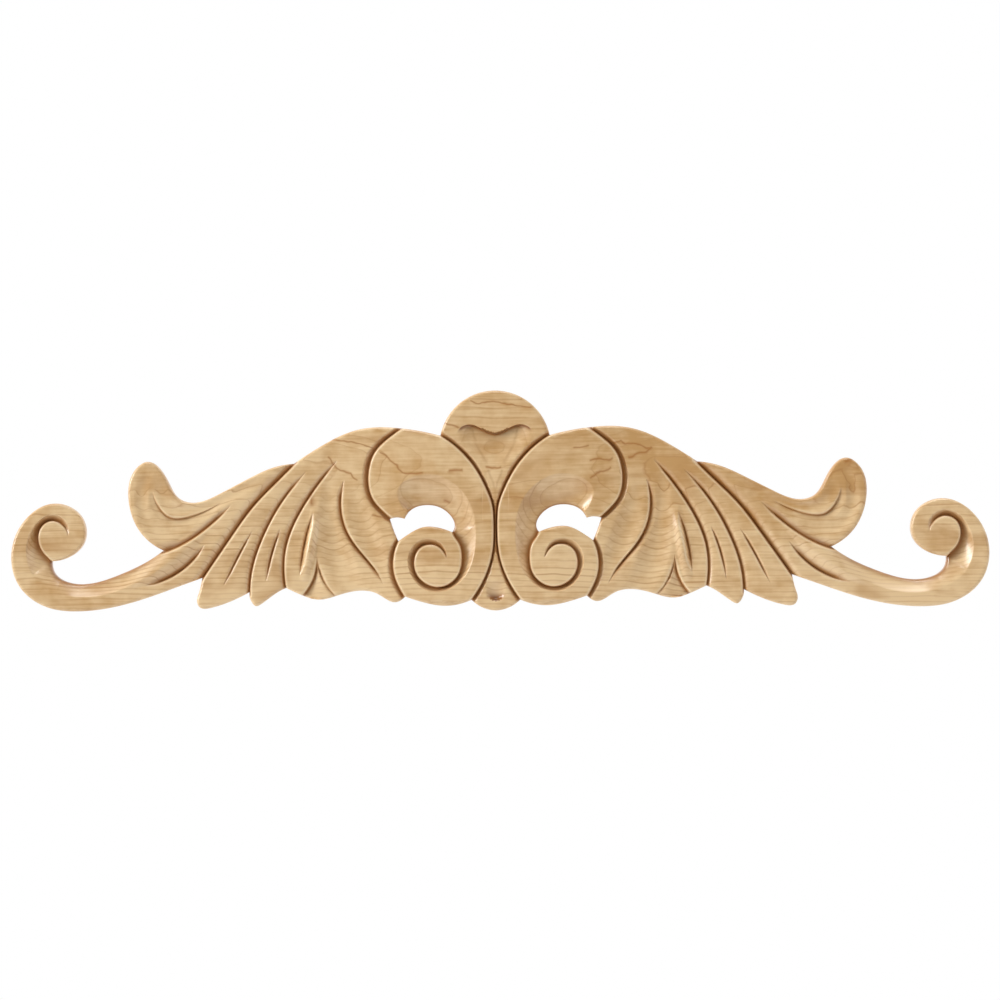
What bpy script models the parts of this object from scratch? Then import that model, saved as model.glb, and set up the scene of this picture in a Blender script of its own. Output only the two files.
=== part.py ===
# Carved wood onlay: a domed crest between two C-scrolls, with acanthus leaves and long scrolled stems.
# It is one board carved on its front. Its halves are mirror images but for a small drift of the middle.
#
# World frame: metres, +Z up, +X right. The carved front faces -Y and the flat back lies at Y = 0.
# Drawing: millimetres, each point as (out from the centre line, up from mid height).

import math

import bmesh
import bpy
import numpy as np
from mathutils import Matrix
from mathutils.geometry import delaunay_2d_cdt

LENGTH = 0.4572                  # from scroll to scroll
DRAWN_LENGTH = 457.2             # the same length in the drawing
MM = LENGTH / DRAWN_LENGTH       # one millimetre of the drawing
DRAWN_HALF = 229.0               # the drawing reaches this far out
DRAWN_HIGH = 52.0                # and this far up and down

# Wood left above the flat back before the leaves are cut, from the centre outwards
BOARD_OUT = [0.0, 28.0, 45.0, 60.0, 75.0, 229.0]
BOARD_HIGH = [17.0, 17.0, 16.0, 14.5, 13.5, 13.0]
SCROLL_RAISED = 0.9              # the C-scrolls stand this much above the leaves beside them
RIM = 1.3                        # rounding of the front edge
WINDOW_RIM = 0.7                 # rounding round the pierced windows

# The carver's middle lies to one side, by this much at these distances from it
DRIFT_OUT = [0.0, 100.0, 140.0, 170.0, 200.0, 229.0]
DRIFT = [-2.2, -2.0, -1.5, -1.2, -0.7, 0.0]

EDGE_STEP = 2.4                  # spacing of points round the outline
CUT_STEP = 2.6                   # spacing of points along a cut
FIELD_STEP = 3.9                 # spacing of points on the open wood
CLEAR = 0.62                     # open points keep this share of their spacing from the lines
SAMPLE = 0.4                     # spacing of the samples that distances are measured to
CURVE_PARTS = 24                 # straight parts in a stretch of curve before it is stepped evenly
BATCH = 2000                     # points measured at a time
SAME_PLACE = 0.02                # corners of the plan this close are one
MERGE = 0.01                     # corners of the two halves this close are one

# A cut at least this deep has its whole wall, and a shallow one keeps a share of it
WHOLE_WALL_AT = 1.2
LEAST_WALL = 0.3
WIDE_RUN = 2.5                   # a slope wider than this has a line half way up it
HALF_WAY_MOST = 3.0              # which lies no further than this from the foot

# The round crest
CREST_CENTRE = (0.0, 25.2)
CREST_RADIUS = 26.0
CREST_END = (25.5, 30.3)

# Outline of one half after the crest's arc. Each run starts where the one before it ended.
OUTLINE = {
    "crown": [(35.0, 32.5), (46.7, 34.1), (56.0, 34.4), (66.7, 32.6), (82.2, 25.3), (94.3, 17.6)],
    "tail_leaf": [
        (104.5, 15.7), (115.8, 10.7), (129.3, 3.8), (142.6, -0.3), (148.2, 1.3), (154.5, 10.8),
        (163.8, 18.9), (169.0, 15.5), (172.5, 1.5), (167.8, -12.8), (156.1, -22.6),
    ],
    "stem_top": [
        (164.3, -28.0), (176.5, -33.6), (189.9, -37.7), (199.8, -37.7), (207.7, -33.4), (209.2, -27.3),
    ],
    "end_scroll": [
        (201.9, -25.8), (193.8, -18.6), (194.4, -7.7), (207.4, -0.3), (220.6, -6.5), (228.45, -22.5),
        (225.1, -38.5), (211.3, -48.9), (197.8, -50.8), (171.9, -47.1), (151.0, -40.2), (137.9, -35.5),
    ],
    "finger_one": [
        (139.6, -42.9), (140.4, -46.6), (139.2, -49.2), (133.5, -49.5), (124.2, -46.5), (115.6, -42.3),
    ],
    "finger_two": [(114.4, -47.1), (112.5, -48.9), (110.2, -48.0), (101.3, -41.9), (98.2, -40.5)],
    "leaf_foot": [
        (92.4, -43.2), (83.3, -46.0), (72.8, -43.7), (63.3, -41.9), (55.5, -43.4), (47.6, -47.4),
        (42.4, -44.8),
    ],
    "scroll_foot": [(35.0, -47.2), (25.6, -49.1), (11.4, -46.5)],
    "drop": [(4.9, -50.6), (0.0, -51.5)],
}

# Pierced window between the C-scroll and its inner volute, as runs that close on the first point
WINDOW_START = (49.5, -8.5)
WINDOW = {
    "lip": [(46.4, -7.8), (42.6, -8.4)],
    "arch": [(38.7, -3.8), (31.4, -2.1), (23.9, -4.4), (19.1, -12.5), (20.3, -14.9)],
    "floor": [(26.4, -12.8), (33.8, -12.4), (40.8, -15.7), (45.6, -19.0)],
    "side": [(46.9, -16.0), (49.5, -8.5)],
}

# Gouge cuts. A cut is deepest on its path, with a steep wall on one side (1 is left of the way it runs,
# -1 right), and on the other a slope that runs out, or a hollow that rises to a ridge.
# Run-outs, depths and bows are spaced evenly along the path. A slope of bow 1 is hollow with a crisp edge,
# and one of bow 0 rolls over softly.
CUTS = {
    "scroll_leaf": {
        "path": [
            (41.6, 35.1), (50.4, 29.1), (56.8, 22.3), (59.3, 15.0), (59.7, 8.9), (57.7, 0.9), (53.8, -4.1),
            (49.0, -8.5),
        ],
        "wall_side": -1, "wall": 0.8, "run_out": [1.4, 2.0, 2.2, 2.2, 2.0, 1.6],
        "depth": [1.9, 2.3, 2.3, 1.9], "bow": [0.9],
    },
    "volute_leaf": {
        "path": [(45.6, -18.5), (48.0, -25.5), (47.7, -35.0), (45.6, -40.4), (41.6, -47.0)],
        "wall_side": -1, "wall": 0.8, "run_out": [1.4, 1.9, 2.1, 1.9, 1.6], "depth": [1.9, 2.3, 2.2, 1.9],
        "bow": [0.9],
    },
    "scroll_crest": {
        "path": [
            (27.2, 31.6), (15.5, 22.9), (8.9, 14.8), (3.5, 4.5), (1.2, -2.0), (0.55, -8.0), (0.5, -15.5),
            (1.1, -24.0), (4.0, -34.1), (11.8, -47.3),
        ],
        "wall_side": 1, "wall": 0.8, "run_out": [1.6, 1.6, 1.6, 1.2, 0.55, 0.5, 0.6, 1.3, 1.6],
        "depth": [2.0, 2.1, 2.0], "bow": [0.9],
    },
    "volute": {
        "path": [
            (39.5, -5.8), (31.4, -3.0), (24.2, -5.2), (20.2, -10.5), (19.6, -15.5), (17.0, -19.7),
            (15.5, -26.5), (17.5, -35.2), (26.0, -40.7), (36.3, -36.0), (38.5, -28.5), (35.0, -21.5),
            (28.5, -20.5), (23.0, -26.3),
        ],
        "ridge": [
            (41.0, -6.0), (44.8, -0.8), (46.0, 4.2), (43.2, 8.6), (35.0, 12.0), (27.0, 11.8), (20.1, 8.5),
            (14.0, 2.4), (10.3, -5.8), (9.1, -15.8), (10.5, -27.0), (15.4, -36.8), (24.5, -42.4),
            (33.1, -41.7), (39.9, -34.2), (41.2, -27.0), (37.5, -20.0), (31.5, -17.7), (26.1, -19.5),
            (22.7, -25.8),
        ],
        "wall_side": 1, "wall": 0.8,
        "depth": [4.2, 4.6, 4.6, 4.4, 4.0, 3.6, 3.4, 3.2, 3.1, 3.0, 3.0, 3.0, 2.9, 2.7, 2.2, 0.6],
        "bow": [0.75, 0.75, 0.95, 0.95, 0.9, 0.85, 0.8],
    },
    "end_eye": {
        "path": [
            (155.4, -21.6), (164.3, -27.2), (176.5, -32.8), (189.9, -36.9), (199.8, -37.0), (206.9, -33.0),
            (209.2, -28.2), (213.3, -23.6), (215.9, -16.5), (213.5, -10.2), (208.8, -8.2), (203.5, -10.5),
            (201.4, -15.7),
        ],
        "ridge": [
            (151.5, -26.6), (159.2, -32.2), (167.6, -36.8), (178.1, -41.5), (189.1, -44.1), (198.4, -44.2),
            (209.1, -41.2), (218.0, -34.2), (221.4, -22.5), (218.5, -12.3), (213.1, -6.7), (205.9, -5.9),
            (201.2, -10.2), (201.0, -15.5),
        ],
        "wall_side": 1, "wall": 0.8,
        "depth": [0.2, 0.9, 1.8, 2.5, 2.9, 3.1, 3.4, 3.6, 3.8, 3.8, 3.7, 3.4, 2.9, 1.9, 0.0],
        "bow": [0.1, 0.4, 0.9, 1.0, 1.0, 0.9, 0.8, 0.7, 0.6],
    },
    "stem_cut": {
        "path": [(165.0, -39.1), (156.1, -36.5), (147.0, -31.4), (140.3, -25.0), (136.5, -19.8)],
        "wall_side": 1, "wall": 0.8, "run_out": [0.5, 3.8, 4.8, 3.8, 0.5],
        "depth": [0.0, 1.9, 2.5, 1.9, 0.0],
    },
    "tail_root": {
        "path": [(156.9, -23.6), (148.4, -20.3), (139.6, -15.1), (131.2, -8.4), (123.6, -1.2)],
        "wall_side": 1, "wall": 0.8, "run_out": [4.8, 5.2, 4.8, 3.3, 0.5],
        "depth": [2.0, 2.4, 2.4, 1.7, 0.0],
    },
    "tail_vein": {
        "path": [(160.8, 5.0), (158.5, -2.0), (152.9, -7.4), (146.0, -7.6), (137.3, -4.9), (129.0, -0.6)],
        "wall_side": -1, "wall": 0.8, "run_out": [1.0, 5.1, 7.0, 7.0, 5.1, 3.7, 0.9],
        "depth": [0.0, 1.2, 1.5, 1.4, 1.2, 0.8, 0.0], "bow": [0.75],
    },
    "fold_one": {
        "path": [(93.3, 18.2), (102.8, 8.9), (114.1, -2.7), (124.0, -16.0), (132.7, -28.4), (138.8, -37.3)],
        "wall_side": -1, "wall": 0.8, "run_out": [5.1, 5.1, 4.7, 4.7, 4.7, 4.2], "depth": [2.6, 2.8],
    },
    "fold_two": {
        "path": [
            (88.0, 14.0), (95.6, 5.7), (102.9, -4.6), (108.4, -14.9), (112.4, -24.7), (114.8, -34.0),
            (115.5, -43.6),
        ],
        "wall_side": -1, "wall": 0.8, "run_out": [0.5, 2.6, 3.2, 3.2, 2.8, 2.3],
        "depth": [0.0, 1.8, 2.3, 2.3, 2.2, 2.0],
    },
    "fold_three": {
        "path": [(73.8, 19.0), (83.6, 7.1), (92.6, -6.9), (98.2, -20.9), (99.3, -30.3), (98.3, -41.6)],
        "wall_side": -1, "wall": 0.8, "run_out": [0.5, 2.6, 3.2, 3.2, 2.8, 2.3, 2.0],
        "depth": [0.0, 1.9, 2.4, 2.4, 2.2, 2.0, 1.9],
    },
    "fold_four": {
        "path": [
            (70.6, 9.6), (72.5, 0.5), (72.1, -6.5), (69.9, -13.9), (64.7, -22.3), (57.4, -31.2),
            (52.5, -39.1),
        ],
        "wall_side": -1, "wall": 0.8, "run_out": [0.5, 2.4, 3.2, 3.2, 2.8, 2.2, 0.5],
        "depth": [0.0, 1.9, 2.4, 2.4, 2.2, 1.7, 0.0],
    },
    "vein_one": {
        "path": [(113.6, -13.3), (119.2, -22.8), (123.8, -31.6), (127.8, -39.6)],
        "wall_side": -1, "wall": 0.8, "run_out": [0.4, 1.5, 1.7, 1.3, 0.4],
        "depth": [0.0, 1.3, 1.6, 1.2, 0.0],
    },
    "vein_two": {
        "path": [(100.3, -12.3), (104.2, -22.5), (106.4, -31.0), (107.5, -37.6)],
        "wall_side": -1, "wall": 0.8, "run_out": [0.4, 1.5, 1.7, 1.3, 0.4],
        "depth": [0.0, 1.4, 1.7, 1.2, 0.0],
    },
    "vein_three": {
        "path": [(85.2, -5.3), (88.4, -15.5), (90.4, -25.0), (91.8, -34.5)],
        "wall_side": -1, "wall": 1.6, "run_out": [0.4, 1.3, 1.5, 1.2, 0.4],
        "depth": [0.0, 1.8, 2.1, 1.6, 0.0],
    },
    "pocket_out": {
        "path": [(83.6, -25.6), (84.1, -32.5), (86.3, -38.6), (91.4, -45.2)],
        "ridge": [(83.6, -25.6), (82.6, -32.4), (79.5, -39.3), (73.2, -46.0)],
        "wall_side": 1, "wall": 0.8, "depth": [0.0, 1.9, 2.4, 2.5], "bow": [0.5],
    },
    "pocket_in": {
        "path": [(83.6, -25.6), (82.6, -32.4), (79.5, -39.3), (73.2, -46.0)],
        "wall_side": -1, "wall": 0.9, "run_out": [0.4, 1.2, 2.2, 2.8], "depth": [0.0, 1.4, 0.9, 0.7],
    },
}
RAISED_BY = ("scroll_leaf", "volute_leaf", "scroll_crest")    # the cuts that bound a C-scroll

# Shallow dishes scooped along the leaves, and rolls left standing between them (negative depths):
# half widths and depths, spaced evenly along the path
DISHES = {
    "inner_lobe": {
        "path": [(66.0, 4.0), (63.4, -7.0), (58.4, -20.0), (50.8, -36.5)],
        "half_width": [3.8, 6.6, 6.3, 3.2], "depth": [0.3, 1.3, 1.3, 0.3],
    },
    "outer_lobe": {
        "path": [(78.4, 9.4), (78.0, -3.3), (75.8, -18.6), (71.5, -32.0), (66.0, -41.0)],
        "half_width": [3.0, 4.8, 6.8, 7.8, 6.0], "depth": [0.2, 1.2, 1.7, 1.5, 0.6],
    },
    "leaf_ridge": {
        "path": [(84.4, -2.0), (85.6, -12.0), (87.5, -24.0), (89.5, -35.0)],
        "half_width": [2.0, 3.0, 3.2, 2.6], "depth": [0.0, -1.7, -2.1, -0.5],
    },
    "tail": {
        "path": [(110.2, 10.4), (127.5, 1.5), (141.5, -3.7), (151.2, -3.0), (157.0, 6.0)],
        "half_width": [2.6, 3.4, 3.2, 3.4, 3.0], "depth": [0.3, 0.7, 0.8, 0.7, 0.3],
    },
    "tail_margin": {
        "path": [(163.6, 12.0), (166.2, 1.0), (160.5, -11.5), (149.0, -14.6), (136.0, -9.0)],
        "half_width": [2.6, 3.6, 4.2, 3.8, 2.4], "depth": [0.3, 0.9, 1.0, 0.7, 0.2],
    },
    "stem_roll": {
        "path": [(175.0, -39.0), (163.0, -33.4), (152.0, -26.0), (142.0, -17.5), (134.0, -10.0)],
        "half_width": [2.6, 4.4, 4.8, 4.2, 2.4], "depth": [0.0, -1.3, -1.7, -1.2, 0.0],
    },
}

DISH_EASE = 1.4                  # how softly a dish meets the wood round it

# Heart-shaped hollow under the brow of the crest: half widths of its top and of its floor by the height
BROW = [(0.0, 31.3), (4.4, 32.6), (8.4, 34.7), (12.1, 35.5), (15.4, 34.5), (18.0, 31.4)]
BROW_WIDTH = 0.8
HEART_UP = [4.0, 8.5, 11.4, 14.7, 17.8, 20.8, 23.7, 27.1, 31.4, 36.0]
HEART_TOP = [0.6, 2.8, 4.3, 6.2, 8.6, 11.3, 14.2, 16.8, 18.3, 18.3]
HEART_FLOOR = [0.0, 1.0, 2.4, 3.4, 4.4, 5.8, 7.4, 9.0, 10.2, 10.6]
HEART_DEPTH = 2.2
HEART_FULL = 2.0                 # the hollow is deepest down to here under the brow
HEART_HEIGHT = 17.0              # and fades out over this height
LEAST_SIDE = 0.1                 # its side walls are at least this wide

# Thumbnail cut in the drop at the bottom
THUMB_BOTTOM = -47.1
THUMB_HALF = 4.5                 # half its width
THUMB_SWEEP = 3.8                # how far its round bottom rises at the sides
THUMB_LIP = 1.6                  # width of the steep wall at its bottom
THUMB_HEIGHT = 9.5               # it fades out upwards over this height
THUMB_DEPTH = 2.6

MAPLE_COLOUR = (0.73, 0.49, 0.26, 1.0)
MAPLE_ROUGHNESS = 0.45
SHARP_ANGLE = math.radians(40.0)


def smooth_path(points, step):
    """Even steps along a cubic curve through the points, by the distance along them."""
    p = np.array(points, float)
    count = len(p)
    gap = np.linalg.norm(np.diff(p, axis=0), axis=1)
    bend = np.zeros((count, 2))
    if count > 2:
        matrix = np.zeros((count, count))
        right = np.zeros((count, 2))
        # at both ends the curve bends as it does one point further in
        matrix[0, 0] = matrix[-1, -1] = 1.0
        matrix[0, 1] = matrix[-1, -2] = -1.0
        for i in range(1, count - 1):
            matrix[i, i - 1] = gap[i - 1]
            matrix[i, i] = 2.0 * (gap[i - 1] + gap[i])
            matrix[i, i + 1] = gap[i]
            right[i] = 6.0 * ((p[i + 1] - p[i]) / gap[i] - (p[i] - p[i - 1]) / gap[i - 1])
        bend = np.linalg.solve(matrix, right)
    fine = []
    for i in range(count - 1):
        t = np.linspace(0.0, gap[i], CURVE_PARTS, endpoint=False)[:, None]
        s = gap[i] - t
        fine.append(
            (bend[i] * s ** 3 + bend[i + 1] * t ** 3) / (6.0 * gap[i])
            + (p[i] / gap[i] - bend[i] * gap[i] / 6.0) * s
            + (p[i + 1] / gap[i] - bend[i + 1] * gap[i] / 6.0) * t
        )
    fine.append(p[-1:])
    return even_steps(np.concatenate(fine), step)


def even_steps(line, step):
    travelled = np.concatenate([[0.0], np.cumsum(np.linalg.norm(np.diff(line, axis=0), axis=1))])
    stops = np.linspace(0.0, travelled[-1], max(2, round(travelled[-1] / step)) + 1)
    return np.stack([np.interp(stops, travelled, line[:, axis]) for axis in (0, 1)], axis=1)


def runs_line(start, runs, step):
    line = [np.array([start])]
    for points in runs.values():
        run = smooth_path([tuple(line[-1][-1])] + points, step)
        line.append(run[1:])
    return np.concatenate(line)


def outline_line(step):
    """From the top of the crest, out round the end scroll and back to the bottom of the drop."""
    end_turn = math.acos((CREST_END[1] - CREST_CENTRE[1]) / CREST_RADIUS)
    turns = np.linspace(0.0, end_turn, round(CREST_RADIUS * end_turn / step) + 1)[:-1]
    crest = np.stack([np.sin(turns), np.cos(turns)], axis=1) * CREST_RADIUS + CREST_CENTRE
    return np.concatenate([crest, runs_line(CREST_END, OUTLINE, step)])


def measure(points, line):
    """Distance to a line, which side of it (1 left, -1 right) and how far along it (0 to 1)."""
    ahead = np.gradient(line, axis=0)
    distance = np.empty(len(points))
    side = np.empty(len(points))
    share = np.empty(len(points))
    for start in range(0, len(points), BATCH):
        part = points[start:start + BATCH]
        away = part[:, None, :] - line[None, :, :]
        squared = (away ** 2).sum(axis=2)
        near = squared.argmin(axis=1)
        rows = np.arange(len(part))
        offset = away[rows, near]
        tangent = ahead[near]
        distance[start:start + BATCH] = np.sqrt(squared[rows, near])
        side[start:start + BATCH] = np.sign(tangent[:, 0] * offset[:, 1] - tangent[:, 1] * offset[:, 0])
        share[start:start + BATCH] = near / (len(line) - 1)
    return distance, side, share


def along(share, values):
    return np.interp(share, np.linspace(0.0, 1.0, len(values)), values)


def ease(value):
    t = np.clip(value, 0.0, 1.0)
    return t * t * (3.0 - 2.0 * t)


def near_line(points, line, reach):
    low = line.min(axis=0) - reach
    high = line.max(axis=0) + reach
    return np.where(((points >= low) & (points <= high)).all(axis=1))[0]


def inside(points, loop):
    result = np.zeros(len(points), bool)
    for (x0, y0), (x1, y1) in zip(loop, np.roll(loop, -1, axis=0)):
        if y0 != y1:
            spans = (y0 > points[:, 1]) != (y1 > points[:, 1])
            result ^= spans & (points[:, 0] < (x1 - x0) * (points[:, 1] - y0) / (y1 - y0) + x0)
    return result


def wall_width(cut, full):
    return cut["wall"] * np.clip(full / WHOLE_WALL_AT, LEAST_WALL, 1.0)


def slope_left(across, bow):
    """Share of the depth left on the way from a cut's foot (0) to the edge of its slope (1)."""
    inward = np.clip(1.0 - across, 0.0, 1.0)
    return bow * inward * (2.0 - inward) + (1.0 - bow) * inward ** 2


def cut_depth(points, cut):
    """How deep one gouge cut goes at each point."""
    line = smooth_path(cut["path"], SAMPLE)
    ridge = smooth_path(cut["ridge"], SAMPLE) if "ridge" in cut else None
    if ridge is None:
        close = near_line(points, line, max(cut["run_out"]) + cut["wall"])
    else:
        close = near_line(points, np.concatenate([line, ridge]), cut["wall"])
    distance, side, share = measure(points[close], line)
    on_wall = side * cut["wall_side"] > 0
    if ridge is None:
        hollow = ~on_wall
        across = distance / along(share, cut["run_out"])
    else:
        to_ridge, _, _ = measure(points[close], ridge)
        hollow = inside(points[close], np.concatenate([line, ridge[::-1]])) | (distance < SAME_PLACE)
        across = distance / np.maximum(distance + to_ridge, SAME_PLACE)
    full = along(share, cut["depth"])
    slope = slope_left(across, along(share, cut.get("bow", [0.0])))
    climb = 1.0 - ease(distance / wall_width(cut, full))
    depth = np.zeros(len(points))
    depth[close] = full * np.where(hollow, slope, np.where(on_wall, climb, 0.0))
    return depth


def dish_depth(points, dish):
    line = smooth_path(dish["path"], SAMPLE)
    close = near_line(points, line, max(dish["half_width"]))
    distance, _, share = measure(points[close], line)
    across = np.clip(distance / along(share, dish["half_width"]), 0.0, 1.0)
    depth = np.zeros(len(points))
    depth[close] = along(share, dish["depth"]) * (1.0 - across ** 2) ** DISH_EASE
    return depth


def scroll_raise(points):
    """The C-scroll stands proud, and rises up the steep walls of the cuts that bound it."""
    leaf_side = smooth_path(CUTS["scroll_leaf"]["path"], SAMPLE)
    volute_side = smooth_path(CUTS["volute_leaf"]["path"], SAMPLE)
    crest_side = smooth_path(CUTS["scroll_crest"]["path"], SAMPLE)
    loop = np.concatenate([leaf_side, volute_side, crest_side[::-1]])
    rise = inside(points, loop).astype(float)
    for name in RAISED_BY:
        distance, _, _ = measure(points, smooth_path(CUTS[name]["path"], SAMPLE))
        rise = np.minimum(rise, ease(distance / CUTS[name]["wall"]))
    return SCROLL_RAISED * rise


def heart_depth(points):
    brow = smooth_path(BROW, SAMPLE)
    below = np.interp(points[:, 0], brow[:, 0], brow[:, 1]) - points[:, 1]
    top = np.interp(points[:, 1], HEART_UP, HEART_TOP)
    floor = np.interp(points[:, 1], HEART_UP, HEART_FLOOR)
    across = ease((top - points[:, 0]) / np.maximum(top - floor, LEAST_SIDE))
    fade = 1.0 - ease((below - HEART_FULL) / HEART_HEIGHT)
    return HEART_DEPTH * across * ease(below / BROW_WIDTH) * fade


def thumb_depth(points):
    across = np.clip(points[:, 0] / THUMB_HALF, 0.0, 1.0)
    above = points[:, 1] - THUMB_BOTTOM - THUMB_SWEEP * (1.0 - np.sqrt(1.0 - across ** 2))
    fade = np.clip(1.0 - above / THUMB_HEIGHT, 0.0, 1.0)
    return THUMB_DEPTH * ease(above / THUMB_LIP) * fade * (1.0 - across ** 2) ** DISH_EASE


def rounding(points, line, radius):
    distance, _, _ = measure(points, line)
    share = np.clip(1.0 - distance / radius, 0.0, 1.0)
    return radius * (1.0 - np.sqrt(1.0 - share ** 2))


def carved_height(points):
    """Height of the carved front above the flat back, in millimetres."""
    cuts = np.zeros(len(points))
    for cut in CUTS.values():
        cuts = np.maximum(cuts, cut_depth(points, cut))
    height = np.interp(points[:, 0], BOARD_OUT, BOARD_HIGH) + scroll_raise(points) - cuts
    for dish in DISHES.values():
        height -= dish_depth(points, dish)
    height -= heart_depth(points) + thumb_depth(points)
    height -= rounding(points, outline_line(SAMPLE), RIM)
    height -= rounding(points, runs_line(WINDOW_START, WINDOW, SAMPLE), WINDOW_RIM)
    return height


def beside(line, offset):
    ahead = np.gradient(line, axis=0)
    ahead /= np.linalg.norm(ahead, axis=1)[:, None]
    return line + np.stack([-ahead[:, 1], ahead[:, 0]], axis=1) * np.asarray(offset).reshape(-1, 1)


def cut_rows(cut):
    """Lines along the foot of a cut, the top of its steep wall, its ridge, and half way up a wide slope."""
    line = smooth_path(cut["path"], CUT_STEP)
    share = np.linspace(0.0, 1.0, len(line))
    rows = [line, beside(line, cut["wall_side"] * wall_width(cut, along(share, cut["depth"])))]
    if "ridge" in cut:
        rows.append(smooth_path(cut["ridge"], CUT_STEP))
        reach, _, _ = measure(line, rows[-1])
    else:
        reach = along(share, cut["run_out"])
    wide = np.where(reach > WIDE_RUN)[0]
    if len(wide) > 2:
        half_way = beside(line, -cut["wall_side"] * np.minimum(0.5 * reach, HALF_WAY_MOST))
        rows.append(half_way[wide[0]:wide[-1] + 1])
    return rows


def clear_of(points, others, distance):
    keep = np.ones(len(points), bool)
    for start in range(0, len(points), BATCH):
        away = points[start:start + BATCH, None, :] - others[None, :, :]
        keep[start:start + BATCH] = (away ** 2).sum(axis=2).min(axis=1) > distance ** 2
    return points[keep]


def lattice(step):
    # rows of points, every second row shifted by half a step
    rows = []
    for number, up in enumerate(np.arange(-DRAWN_HIGH, DRAWN_HIGH, step * math.sqrt(0.75))):
        shift = 0.5 * step * (number % 2)
        out = np.arange(0.5 * step + shift, DRAWN_HALF, step)
        rows.append(np.stack([out, np.full(len(out), up)], axis=1))
    return np.concatenate(rows)


def half_plan():
    """Triangles of one half seen from the front: corners in the drawing, and three of them a face."""
    edge = outline_line(EDGE_STEP)
    middle = even_steps(np.array([edge[-1], edge[0]]), CUT_STEP)[1:-1]
    border = np.concatenate([edge, middle])
    window = runs_line(WINDOW_START, WINDOW, EDGE_STEP)[:-1]
    brow = smooth_path(BROW, CUT_STEP)
    corners = []
    links = []

    def add_line(line, closed=False):
        first = len(corners)
        corners.extend(line.tolist())
        links.extend((first + i, first + i + 1) for i in range(len(line) - 1))
        if closed:
            links.append((first + len(line) - 1, first))

    add_line(border, closed=True)
    add_line(window, closed=True)
    for cut in CUTS.values():
        for row in cut_rows(cut):
            add_line(row)
    add_line(brow)
    add_line(brow - (0.0, BROW_WIDTH))
    rim = beside(edge, -RIM)
    rim = clear_of(rim[rim[:, 0] > RIM], np.array(corners), 0.5 * RIM)
    open_wood = clear_of(lattice(FIELD_STEP), np.concatenate([corners, rim]), CLEAR * FIELD_STEP)
    corners.extend(rim.tolist())
    corners.extend(open_wood.tolist())
    result = delaunay_2d_cdt([tuple(c) for c in corners], links, [], 0, SAME_PLACE)
    plan = np.array([tuple(c) for c in result[0]])
    faces = np.array(result[2])
    middles = plan[faces].mean(axis=1)
    kept = inside(middles, border) & ~inside(middles, window)
    return plan, faces[kept]


def drifted(out):
    """World X of a point, with the carver's drift of the middle."""
    return out + float(np.interp(abs(out), DRIFT_OUT, DRIFT))


def close_back(bm):
    """Flat triangles over the open edges of the back, but not over the windows."""
    edges = [edge for edge in bm.edges if edge.is_boundary]
    verts = list({vert: None for edge in edges for vert in edge.verts})
    number = {vert: i for i, vert in enumerate(verts)}
    links = [(number[edge.verts[0]], number[edge.verts[1]]) for edge in edges]
    places = np.array([(vert.co.x, vert.co.z) for vert in verts])
    faces = delaunay_2d_cdt([tuple(place) for place in places], links, [], 1, 0.0)[2]
    middles = places[np.array(faces)].mean(axis=1)
    middles[:, 0] = np.abs(middles[:, 0])
    in_window = inside(middles, runs_line(WINDOW_START, WINDOW, EDGE_STEP)[:-1])
    for face, skipped in zip(faces, in_window):
        if not skipped:
            bm.faces.new([verts[i] for i in face])


def carve_onlay():
    plan, faces = half_plan()
    heights = carved_height(plan)
    bm = bmesh.new()
    used = sorted(set(faces.ravel().tolist()))
    verts = {i: bm.verts.new((plan[i, 0], -heights[i], plan[i, 1])) for i in used}
    for face in faces:
        bm.faces.new([verts[i] for i in face])
    # both halves, joined on the centre line
    half = bm.verts[:] + bm.edges[:] + bm.faces[:]
    bmesh.ops.mirror(bm, geom=half, matrix=Matrix(), merge_dist=MERGE, axis="X")
    # side walls down to the flat back
    rim_edges = [edge for edge in bm.edges if edge.is_boundary]
    walls = bmesh.ops.extrude_edge_only(bm, edges=rim_edges)["geom"]
    for vert in walls:
        if isinstance(vert, bmesh.types.BMVert):
            vert.co.y = 0.0
    close_back(bm)
    for vert in bm.verts:
        vert.co.x = drifted(vert.co.x)
    bmesh.ops.scale(bm, vec=(MM, MM, MM), verts=bm.verts)
    bmesh.ops.triangulate(bm, faces=bm.faces)
    bmesh.ops.recalc_face_normals(bm, faces=bm.faces)
    mesh = bpy.data.meshes.new("carved_onlay")
    bm.to_mesh(mesh)
    bm.free()
    mesh.shade_smooth()
    mesh.set_sharp_from_angle(angle=SHARP_ANGLE)
    return mesh


def maple():
    material = bpy.data.materials.new("maple")
    material.use_nodes = True
    shader = material.node_tree.nodes["Principled BSDF"]
    shader.inputs["Base Color"].default_value = MAPLE_COLOUR
    shader.inputs["Roughness"].default_value = MAPLE_ROUGHNESS
    shader.inputs["Metallic"].default_value = 0.0
    return material


def main():
    for old in list(bpy.data.objects):
        bpy.data.objects.remove(old, do_unlink=True)
    onlay = bpy.data.objects.new("carved_onlay", carve_onlay())
    onlay.data.materials.append(maple())
    bpy.context.scene.collection.objects.link(onlay)
    print("carved_onlay:", len(onlay.data.polygons), "triangles")


main()
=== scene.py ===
import math

import bmesh
import bpy
import numpy as np
from mathutils import Matrix, Vector
from mathutils.geometry import delaunay_2d_cdt


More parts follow.
